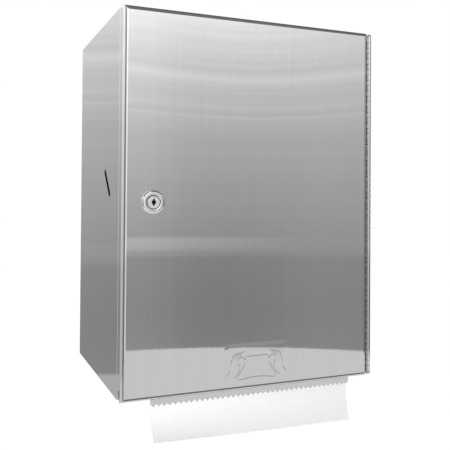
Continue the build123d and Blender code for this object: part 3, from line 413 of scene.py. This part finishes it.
zinc_plate, tree, shader = finish_of("zinc_plate", 1.0, zinc_roughness)
spot = on_piece(tree)
spangle = place(tree, "TexVoronoi", {"Vector": spot, "Scale": spangle_rate})
patches = combine(tree, "MULTIPLY", spangle.outputs["Color"], spangle_share)
marks = smudge_mask(tree, spot, zinc_smudge)
feed(shader, {
    "Base Color": blend_colours(tree, patches, tinted(zinc_grey), tinted(zinc_blue)),
    "Roughness": spread(tree, marks, zinc_roughness, zinc_worn_roughness)})
dress(zinc_plate, "module_plate_left", "module_plate_right", "rear_bridge", "strike_plate", "roll_arm_left",
      "roll_arm_right", "roll_arm_bracket", "pressure_arms", "crank_disc", "lock_cam", "lock_nut",
      "knife_lever")

# Drum, guide, clutch and knife carrier: injection-moulded dark grey plastic with a fine eroded texture. The
# drum is a shell between two caps that are screwed to it, and the guide is an angle behind the outlet slot.
plastic_grey = (0.16, 0.17, 0.18)
plastic_roughness = 0.48
texture_rate = 2600.0
texture_detail = 2.0
texture_relief = 0.00005
texture_strength = 0.5
polish_size = 0.04
polish_tint_share = 1.12
polish_depth = 0.1


def moulded_plastic(name, colour, roughness):
    """Moulded plastic: a fine eroded texture, and patches that are slightly paler and polished."""
    material, tree, shader = finish_of(name, 0.0, roughness)
    spot = on_piece(tree)
    grains = place(tree, "TexNoise", {"Vector": spot, "Scale": texture_rate, "Detail": texture_detail})
    marks = smudge_mask(tree, spot, polish_size)
    pits = place(tree, "Bump", {
        "Height": grains.outputs[0], "Distance": texture_relief, "Strength": texture_strength})
    feed(shader, {
        "Base Color": blend_colours(tree, marks, tinted(colour), tinted(colour, polish_tint_share)),
        "Roughness": spread(tree, marks, roughness, roughness - polish_depth),
        "Normal": pits.outputs[0]})
    return material


grey_plastic = moulded_plastic("grey_plastic", plastic_grey, plastic_roughness)
dress(grey_plastic, "drum_shell", "drum_cap_left", "drum_cap_right", "outlet_guide", "knife_carrier",
      "one_way_clutch")

# Bushes, cam, follower, hubs, roller and knob: off-white acetal, moulded smooth and slightly waxy. The
# bushes sit in the plates, the hubs on the roll arms, and the rest on shafts and pins of the feed module.
acetal_white = (0.82, 0.82, 0.80)
acetal_roughness = 0.36
white_plastic = moulded_plastic("white_plastic", acetal_white, acetal_roughness)
dress(white_plastic, "drum_bushes", "knife_cam", "knife_follower", "pressure_roller", "roll_hub_left",
      "roll_hub_right", "feed_knob")

# Grip bands, roller sleeves and door bumpers: matt black rubber. The bands lie round the drum and the
# sleeves round the pressure roller, ground on the outside, and the bumpers are small pads on the door.
rubber_black = (0.05, 0.05, 0.05)
rubber_roughness = 0.8
rubber = moulded_plastic("rubber", rubber_black, rubber_roughness)
dress(rubber, "grip_bands", "pressure_sleeves", "door_bumpers")

# Springs and knife blade: hardened spring steel with a film of oil, darker and smoother where it is wet.
# The springs sit on pins, posts and shafts, and the serrated blade is carried by a bar inside the drum.
spring_grey = (0.45, 0.46, 0.48)
spring_roughness = 0.28
oil_size = 0.012
oil_tint_share = 0.8
oil_roughness = 0.16

spring_steel, tree, shader = finish_of("spring_steel", 1.0, spring_roughness)
marks = smudge_mask(tree, on_piece(tree), oil_size)
feed(shader, {
    "Base Color": blend_colours(tree, marks, tinted(spring_grey), tinted(spring_grey, oil_tint_share)),
    "Roughness": spread(tree, marks, spring_roughness, oil_roughness)})
dress(spring_steel, "drive_spring", "pressure_springs", "roll_arm_spring", "knife_blade")

# Roll core: a tube wound from strips of grey-brown board and glue, cut to the width of the towel. The
# hubs of the roll holder go into its two ends.
board_brown = (0.55, 0.43, 0.30)
board_tint_shares = (0.8, 1.15)
board_roughness = 0.85
fibre_rate = 700.0
fibre_detail = 5.0
fibre_relief = 0.0002

core_board, tree, shader = finish_of("core_board", 0.0, board_roughness)
fibres = place(tree, "TexNoise", {"Vector": on_piece(tree), "Scale": fibre_rate, "Detail": fibre_detail})
nap = place(tree, "Bump", {"Height": fibres.outputs[0], "Distance": fibre_relief})
feed(shader, {
    "Base Color": blend_colours(tree, fibres.outputs[0],
                                *[tinted(board_brown, share) for share in board_tint_shares]),
    "Normal": nap.outputs[0]})
dress(core_board, "roll_core")

# Towel roll: soft creped paper wound on the core, slit to width on a machine, so that its ends show the
# wound layers as fine steps.
paper_shade = (0.89, 0.89, 0.89)
paper_light = (0.97, 0.97, 0.97)
paper_roughness = 0.92
paper_gloss = 0.2
crepe_rate = 1500.0
crepe_stretch = (0.25, 1.0, 1.0)
crepe_detail = 3.0
crepe_relief = 0.00012
crepe_strength = 0.6
mottle_rate = 260.0
mottle_detail = 4.0
roll_low, roll_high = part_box("towel_roll")
core_low, core_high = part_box("roll_core")
bore_gap = 0.0001
roll_axis = ((roll_low.y + roll_high.y) / 2, (roll_low.z + roll_high.z) / 2)
roll_radius = (roll_high.y - roll_low.y) / 2
bore_radius = (core_high.y - core_low.y) / 2 + bore_gap
edge_round = 0.0012
layer_points = 44
layer_depth = 0.0006
layer_waves = (37.0, 11.0)
layer_shift = 1.0
side_points = 12
round_points = 96


def creped_paper(name):
    """Creped tissue: fine ridges across the web, mottled fibre, no gloss. It reads the paper's own UV."""
    material, tree, shader = finish_of(name, 0.0, paper_roughness)
    shader.inputs["Specular IOR Level"].default_value = paper_gloss
    on_sheet = place(tree, "UVMap", uv_map="layout").outputs[0]
    ridged = place(tree, "Mapping", {"Vector": on_sheet, "Scale": crepe_stretch})
    crepe = place(tree, "TexNoise", {
        "Vector": ridged.outputs[0], "Scale": crepe_rate, "Detail": crepe_detail})
    mottle = place(tree, "TexNoise", {"Vector": on_sheet, "Scale": mottle_rate, "Detail": mottle_detail})
    raised = place(tree, "Bump", {
        "Height": crepe.outputs[0], "Distance": crepe_relief, "Strength": crepe_strength})
    feed(shader, {
        "Base Color": blend_colours(tree, mottle.outputs[0], tinted(paper_shade), tinted(paper_light)),
        "Normal": raised.outputs[0]})
    return material


def wound_roll():
    """Rings about the roll's axis, and their UV layout.

    The section runs up the left end in small steps, along the outside, down the right end and back along
    the bore. A product of two sines of different rates sets how deep each layer of an end lies.
    """
    share = np.linspace(0, 1, layer_points)
    end_radius = bore_radius + (roll_radius - edge_round - bore_radius) * share
    waves = np.sin(layer_waves[0] * share) * np.sin(layer_waves[1] * share + layer_shift)
    end_depth = layer_depth * (1 + waves) / 2
    left = np.stack([roll_low.x + end_depth, end_radius], axis=1)
    right = np.stack([roll_high.x - end_depth, end_radius], axis=1)[::-1]
    along_roll = np.linspace(roll_low.x + edge_round, roll_high.x - edge_round, side_points)
    outside = np.stack([along_roll, np.full(side_points, roll_radius)], axis=1)
    inside = np.stack([along_roll[::-1], np.full(side_points, bore_radius)], axis=1)
    section = np.concatenate([left, outside, right, inside])
    angle = np.linspace(0, 2 * pi, round_points, endpoint=False)
    rings = np.empty((len(section), round_points, 3))
    rings[..., 0] = section[:, :1]
    rings[..., 1] = roll_axis[0] + section[:, 1:] * np.cos(angle)
    rings[..., 2] = roll_axis[1] + section[:, 1:] * np.sin(angle)
    layout = np.stack([rings[..., 0], section[:, 1:] * angle], axis=-1)
    return rings, layout


towel_paper = creped_paper("towel_paper")
wound = skin("towel_wound", *wound_roll(), endless=True)
wound.data.materials.append(towel_paper)
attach(wound, "towel")
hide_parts("towel_roll")

# Towel sheet: one length of the same paper off the back of the roll, round the pressure roller,
# through the nip, over the drum and down behind the tear bar. The loose end still curls forward as
# it was wound, more at the left, and its torn edge hangs a little lower at the right.
paper_thickness = 0.0004
paper_gap = 0.0003
tail_turns = (radians(47.0), radians(18.0))
tail_lengths = (0.0411, 0.0450)
web_points = 220
tail_points = 40
points_across = 45
sleeve_low, sleeve_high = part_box("pressure_sleeves")
drum_low, drum_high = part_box("drum_shell")
web_low, web_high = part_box("towel_web")
roller_axis = ((sleeve_low.y + sleeve_high.y) / 2, (sleeve_low.z + sleeve_high.z) / 2)
roller_radius = (sleeve_high.y - sleeve_low.y) / 2
drum_axis = ((drum_low.y + drum_high.y) / 2, (drum_low.z + drum_high.z) / 2)
web_y = web_low.y + paper_thickness / 2
nip_angle = atan2(roller_axis[1] - drum_axis[1], roller_axis[0] - drum_axis[0])


def guided_path():
    """Points evenly along the sheet's middle from the roll to the outlet: a line, two arcs and a line."""
    across = (roller_axis[0] - roll_axis[0], roller_axis[1] - roll_axis[1])
    leave = atan2(across[1], across[0]) + acos((roll_radius - roller_radius) / hypot(*across))
    clear = paper_gap + paper_thickness / 2
    drum_skin = drum_axis[0] - web_y
    fine = np.linspace(0, 1, web_points)[:, None]

    def arc(centre, radius, start, end):
        turn = start + (end - start) * fine
        return np.array(centre) + radius * np.hstack([np.cos(turn), np.sin(turn)])

    def line(start, end):
        return np.array(start) + (np.array(end) - np.array(start)) * fine

    off_roll = arc(roll_axis, roll_radius + clear, leave, leave)[0]
    round_roller = arc(roller_axis, roller_radius + clear, leave, nip_angle - pi)
    round_drum = arc(drum_axis, drum_skin, nip_angle, pi)
    down = line((web_y, drum_axis[1]), (web_y, web_low.z))
    whole = np.vstack([line(off_roll, round_roller[0]), round_roller, round_drum, down])
    length = np.concatenate([[0], np.cumsum(np.linalg.norm(np.diff(whole, axis=0), axis=1))])
    even = np.linspace(0, length[-1], web_points)
    return np.stack([np.interp(even, length, whole[:, axis]) for axis in (0, 1)], axis=1)


def loose_end():
    """Points of the tail, station by place across: arcs that start straight down, one for each place."""
    turn = np.linspace(*tail_turns, points_across)
    radius = np.linspace(*tail_lengths, points_across) / turn
    angle = np.linspace(0, 1, tail_points)[1:, None] * turn
    return np.stack([web_y - radius * (1 - np.cos(angle)), web_low.z - radius * np.sin(angle)], axis=-1)


def both_faces(middle):
    """Rings across a sheet whose middle surface is given, their UV layout, and each point's run.

    A ring goes along one face and back along the other, each half the thickness from the middle along
    its normal. The run is the distance from the sheet's start, and the layout is place across and run.
    """
    step = np.linalg.norm(np.diff(middle, axis=0), axis=-1)
    run = np.concatenate([np.zeros((1, points_across)), np.cumsum(step, axis=0)])
    ahead = np.gradient(middle, axis=0)
    ahead /= np.linalg.norm(ahead, axis=-1, keepdims=True)
    facing = np.stack([-ahead[..., 1], ahead[..., 0]], axis=-1) * paper_thickness / 2
    across = np.broadcast_to(np.linspace(web_low.x, web_high.x, points_across), run.shape)
    one_face = np.concatenate([across[..., None], middle + facing], axis=-1)
    other_face = np.concatenate([across[..., None], middle - facing], axis=-1)
    rings = np.concatenate([one_face, other_face[:, ::-1]], axis=1)
    one_layout = np.stack([across, run], axis=-1)
    return rings, np.concatenate([one_layout, one_layout[:, ::-1]], axis=1), run


guided = np.broadcast_to(guided_path()[:, None, :], (web_points, points_across, 2))
rings, layout, run = both_faces(np.concatenate([guided, loose_end()]))
sheet = skin("towel_sheet", rings, layout)
sheet.data.materials.append(towel_paper)
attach(sheet, "cabinet")
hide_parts("towel_web", "towel_tail")

# Studio floor: a pale painted floor well below the dispenser. The camera sees it nearly white with the
# object's shadow on it. The steel sees in its place a painted reflection: a glow with no shadow, even, but
# dimmer far behind the dispenser.
floor_height = -0.536
floor_reach = 4.0
floor_white = (0.88, 0.88, 0.88)
floor_roughness = 0.9
floor_lift = 0.62
floor_shine = 0.88
floor_dim_from = 0.2
floor_dim_full = 0.6
floor_dim_share = 0.6
plain_white = (1.0, 1.0, 1.0)
square_shares = ((-1, -1), (1, -1), (1, 1), (-1, 1))


def studio_piece(name, points, faces, material):
    """A piece of the studio from its points, its faces and its finish."""
    mesh = bpy.data.meshes.new(name)
    mesh.from_pydata(points, [], faces)
    mesh.materials.append(material)
    piece = bpy.data.objects.new(name, mesh)
    bpy.context.scene.collection.objects.link(piece)
    return piece


floor_paint, tree, shader = finish_of("floor_paint", 0.0, floor_roughness)
shader.inputs["Base Color"].default_value = tinted(floor_white)
shader.inputs["Specular IOR Level"].default_value = 0.0
shader.inputs["Emission Color"].default_value = tinted(plain_white)
rays = place(tree, "LightPath")
feed(shader, {
    "Emission Strength": combine(tree, "MULTIPLY", rays.outputs["Is Camera Ray"], floor_lift)})
# Painted reflection: glossy rays see an emission in place of the floor, dimmer far behind, with no shadow.
behind = place(tree, "SeparateXYZ", {"Vector": on_piece(tree)}).outputs["Y"]
shine = place(tree, "MapRange", {
    "Value": behind, "From Min": floor_dim_from, "From Max": floor_dim_full,
    "To Min": floor_shine, "To Max": floor_shine * floor_dim_share}).outputs[0]
floor_painted_reflection = place(tree, "Emission", {"Strength": shine})
either = place(tree, "MixShader", {
    0: rays.outputs["Is Glossy Ray"], 1: shader.outputs[0], 2: floor_painted_reflection.outputs[0]})
feed(tree.nodes["Material Output"], {"Surface": either.outputs[0]})
floor_corners = [(floor_reach * x, floor_reach * y, floor_height) for x, y in square_shares]
floor = studio_piece("floor", floor_corners, [(0, 1, 2, 3)], floor_paint)

# Studio booth: a round wall and ceiling that glow by their own emission, seen only in the steel and
# lighting nothing:
# painted reflections, laid out as cloth hung in swags. It is bright high up, dim low down and at the right,
# and a few streaks cross it. Levels are heights in metres, sides and strips are bearings in degrees from
# the door's left corner, and each has its brightness.
booth_middle = (0.13, -0.30)
booth_radius = 1.57
booth_top = 1.9
booth_points = 96
ceiling_hole = 0.02
full_turn = 360.0
door_corner = (-0.13, -0.21)
swag_sag_share = 0.04
swag_middle = 299.0
swag_width = 40.0
fold_rate = 30.0
fold_detail = 5.0
fold_fineness = 0.7
fold_depths = ((floor_height, 0.06), (0.22, 0.08), (0.34, 0.30), (booth_top, 0.34))
booth_levels = ((floor_height, 0.345), (-0.40, 0.325), (-0.28, 0.345), (-0.208, 0.365), (-0.198, 0.41),
                (-0.135, 0.455), (0.02, 0.54), (0.22, 0.66), (0.32, 0.77), (0.41, 0.88), (0.52, 1.00),
                (0.64, 1.27), (0.72, 1.5), (0.80, 1.4), (0.97, 0.28), (booth_top, 0.22))
booth_sides = ((0, 0.25), (60, 0.3), (90, 0.75), (108, 0.79), (135, 1.0), (200, 1.0), (212, 0.3),
               (238, 0.3), (252, 1.0), (280, 1.1), (285, 1.12), (290, 0.97), (297, 0.94), (305, 0.85),
               (318, 0.82), (328, 0.25), (full_turn, 0.25))
booth_strips = ((0, 0.12), (60, 0.12), (90, 0.045), (108, 0.045), (135, 0.36), (200, 0.36), (212, 0.10),
                (238, 0.10), (252, 0.66), (272, 0.66), (280, 0.03), (288, 0.03), (294, 0.0), (299, 0.02),
                (305, 0.08), (318, 0.08), (328, 0.12), (full_turn, 0.12))
low_streak_levels = ((floor_height, 0.0), (-0.207, 0.0), (-0.203, 0.3), (-0.196, 0.15), (-0.191, 0.15),
                     (-0.186, 0.7), (-0.181, 0.4), (-0.176, 0.9), (-0.146, 1.0), (-0.136, 0.0),
                     (booth_top, 0.0))
low_streak_sides = ((0, 0.02), (250, 0.02), (275, 0.17), (285, 0.17), (295, 0.11), (304, 0.02),
                    (full_turn, 0.02))
high_streaks = ((0.165, 0.006, 0.03), (0.257, 0.005, 0.06), (0.304, 0.005, 0.09), (0.337, 0.007, 0.09),
                (0.439, 0.022, 0.08))
streak_edge_shares = ((-1, 0), (-0.5, 1), (0.5, 1), (1, 0))


def stepped_glow(tree, value, stops):
    """A brightness read off a ramp whose stops, from the lowest to the highest, each have a brightness."""
    low = stops[0][0]
    high = stops[-1][0]
    share = place(tree, "MapRange", {"Value": value, "From Min": low, "From Max": high})
    ramp = place(tree, "ValToRGB", {"Fac": share.outputs[0]})
    elements = ramp.color_ramp.elements
    for number, (stop, bright) in enumerate(stops):
        position = (stop - low) / (high - low)
        element = elements[number] if number < 2 else elements.new(position)
        element.position = position
        element.color = (bright, bright, bright, 1.0)
    return ramp.outputs[0]


def booth_surface():
    """Points and faces of the booth: a wall and a ceiling turned about an upright axis, facing inwards."""
    turn = np.linspace(0, 2 * pi, booth_points, endpoint=False)
    profile = np.array([
        (booth_radius, floor_height), (booth_radius, booth_top), (ceiling_hole, booth_top)])
    points = np.empty((len(profile), booth_points, 3))
    points[..., 0] = booth_middle[0] + profile[:, :1] * np.cos(turn)
    points[..., 1] = booth_middle[1] + profile[:, :1] * np.sin(turn)
    points[..., 2] = profile[:, 1:]
    corner = np.arange(len(profile) * booth_points).reshape(len(profile), booth_points)
    beside = np.roll(corner, -1, axis=1)
    faces = np.stack([corner[:-1], corner[1:], beside[1:], beside[:-1]], axis=-1)
    return points.reshape(-1, 3), faces.reshape(-1, 4).tolist()


def show_only_in_steel(piece):
    """Hides a piece of the studio from the camera, from matt surfaces and from the shadows."""
    piece.visible_camera = False
    piece.visible_diffuse = False
    piece.visible_shadow = False


booth_reflection_glow = bpy.data.materials.new("booth_reflection_glow")
booth_reflection_glow.use_nodes = True
tree = booth_reflection_glow.node_tree
tree.nodes.remove(tree.nodes["Principled BSDF"])
where = place(tree, "SeparateXYZ", {"Vector": on_piece(tree)})
bearing = combine(tree, "ARCTAN2", combine(tree, "SUBTRACT", door_corner[1], where.outputs["Y"]),
                  combine(tree, "SUBTRACT", door_corner[0], where.outputs["X"]))
compass = combine(tree, "ADD", combine(tree, "MULTIPLY", bearing, degrees(1.0)), full_turn / 2)

# Swags: the cloth hangs lower and higher in turn along the wall, by a share of its height times a cosine
from_swag = combine(tree, "MULTIPLY", combine(tree, "SUBTRACT", compass, swag_middle), 2 * pi / swag_width)
swag = place(tree, "Math", {0: from_swag}, operation="COSINE").outputs[0]
above = combine(tree, "MAXIMUM", where.outputs["Z"], 0.0)
sag = combine(tree, "MULTIPLY", combine(tree, "MULTIPLY", swag, swag_sag_share), above)
hung = combine(tree, "ADD", where.outputs["Z"], sag)

# Folds: noise along the height alone, deeper high up
rising = place(tree, "CombineXYZ", {"Z": hung})
folds = place(tree, "TexNoise", {"Vector": rising.outputs[0], "Scale": fold_rate, "Detail": fold_detail,
                                 "Roughness": fold_fineness})
fold_depth = stepped_glow(tree, hung, fold_depths)
by_fold = spread(tree, folds.outputs[0], combine(tree, "SUBTRACT", 1.0, fold_depth),
                 combine(tree, "ADD", 1.0, fold_depth))

# Streaks: a low one that fades to the right, and thin high ones given by middle, half width and brightness
low_streak = combine(tree, "MULTIPLY", stepped_glow(tree, hung, low_streak_levels),
                     stepped_glow(tree, compass, low_streak_sides))
streak_edges = [(middle + share * half_width, bright * lit) for middle, half_width, bright in high_streaks
                for share, lit in streak_edge_shares]
high_streak = stepped_glow(tree, hung, [(floor_height, 0.0)] + streak_edges + [(booth_top, 0.0)])

by_height = combine(tree, "MULTIPLY", stepped_glow(tree, hung, booth_levels), by_fold)
painted_brightness = combine(tree, "MULTIPLY", stepped_glow(tree, compass, booth_sides),
                combine(tree, "ADD", high_streak, by_height))
by_strip = combine(tree, "ADD", stepped_glow(tree, compass, booth_strips), low_streak)
# Painted reflection: the booth's brightness is an emission that only the steel sees.
glow = place(tree, "Emission", {"Color": combine(tree, "ADD", painted_brightness, by_strip)})
feed(tree.nodes["Material Output"], {"Surface": glow.outputs[0]})
booth = studio_piece("booth", *booth_surface(), booth_reflection_glow)
show_only_in_steel(booth)

# Dark cards: a low dark card stands close in front of the door's foot, which draws the dark line along
# the lower bend, and one lies on the floor under the camera, which ends the dark line up the left bend.
# They are seen only in the steel and cast no shadow: painted dark reflections along the bends.
card_black = (0.03, 0.03, 0.03)
card_roughness = 1.0
card_glow = 0.18
card_y = -0.24
card_low = -0.36
card_high = -0.204
card_half_width = 0.19
floor_card_rise = 0.005
floor_card_near = 1.05
floor_card_far = 1.5
floor_card_left = radians(212)
floor_card_right = radians(238)

# Painted dark reflection: near black with a faint glow, seen only in the steel.
dark_card_reflection, tree, shader = finish_of("dark_card_reflection", 0.0, card_roughness)
shader.inputs["Base Color"].default_value = tinted(card_black)
shader.inputs["Emission Color"].default_value = tinted(plain_white)
shader.inputs["Emission Strength"].default_value = card_glow
front_card = [(-card_half_width, card_y, card_low), (card_half_width, card_y, card_low),
              (card_half_width, card_y, card_high), (-card_half_width, card_y, card_high)]
floor_card = [
    (door_corner[0] + reach * cos(side), door_corner[1] + reach * sin(side), floor_height + floor_card_rise)
    for reach, side in ((floor_card_near, floor_card_left), (floor_card_near, floor_card_right),
                        (floor_card_far, floor_card_right), (floor_card_far, floor_card_left))]
card = studio_piece("dark_cards", front_card + floor_card, [(0, 1, 2, 3), (4, 5, 6, 7)], dark_card_reflection)
show_only_in_steel(card)

# Lamps: one soft lamp low in front and to the left for the paper, and an even sky. The lamp stays out of
# the steel, which shows the booth and the floor. The sky is white where it is seen and dimmer as a light.
sky_light = 0.45
lamp_power = 9.2
lamp_size = 0.4
lamp_place = (-0.65, -1.1, -0.33)

lamp = bpy.data.lights.new("front_lamp", "AREA")
lamp.energy = lamp_power
lamp.size = lamp_size
front_lamp = bpy.data.objects.new("front_lamp", lamp)
front_lamp.location = lamp_place
front_lamp.rotation_euler = (-Vector(lamp_place)).to_track_quat("-Z", "Y").to_euler()
front_lamp.visible_glossy = False
bpy.context.scene.collection.objects.link(front_lamp)

world = bpy.data.worlds.new("studio")
world.use_nodes = True
tree = world.node_tree
sky = tree.nodes["Background"]
sky.inputs["Color"].default_value = tinted(plain_white)
rays = place(tree, "LightPath")
mirrored_ray = combine(tree, "MAXIMUM", rays.outputs["Is Glossy Ray"], rays.outputs["Is Transmission Ray"])
shown = combine(tree, "MAXIMUM", rays.outputs["Is Camera Ray"], mirrored_ray)
feed(sky, {"Strength": spread(tree, shown, sky_light, 1.0)})
bpy.context.scene.world = world
bpy.context.scene.view_settings.view_transform = "Standard"

# Camera: about level with the middle of the door, to its left, and about 0.8 m in front of the wall. The
# frame is shifted down a little, so that the upright edges of the cabinet stay nearly upright.
camera_place = (-0.2772, -0.7983, 0.0065)
camera_yaw = radians(-22.488)
camera_tilt = radians(0.867)
camera_roll = radians(0.396)
lens = 51.95
film_width = 36.0
shift_down = -0.085

view = bpy.data.cameras.new("camera")
view.lens = lens
view.sensor_width = film_width
view.shift_y = shift_down
camera = bpy.data.objects.new("camera", view)
camera.matrix_world = (
    Matrix.Translation(camera_place) @ Matrix.Rotation(camera_yaw, 4, "Z")
    @ Matrix.Rotation(pi / 2 + camera_tilt, 4, "X") @ Matrix.Rotation(camera_roll, 4, "Z"))
bpy.context.scene.collection.objects.link(camera)
bpy.context.scene.camera = camera
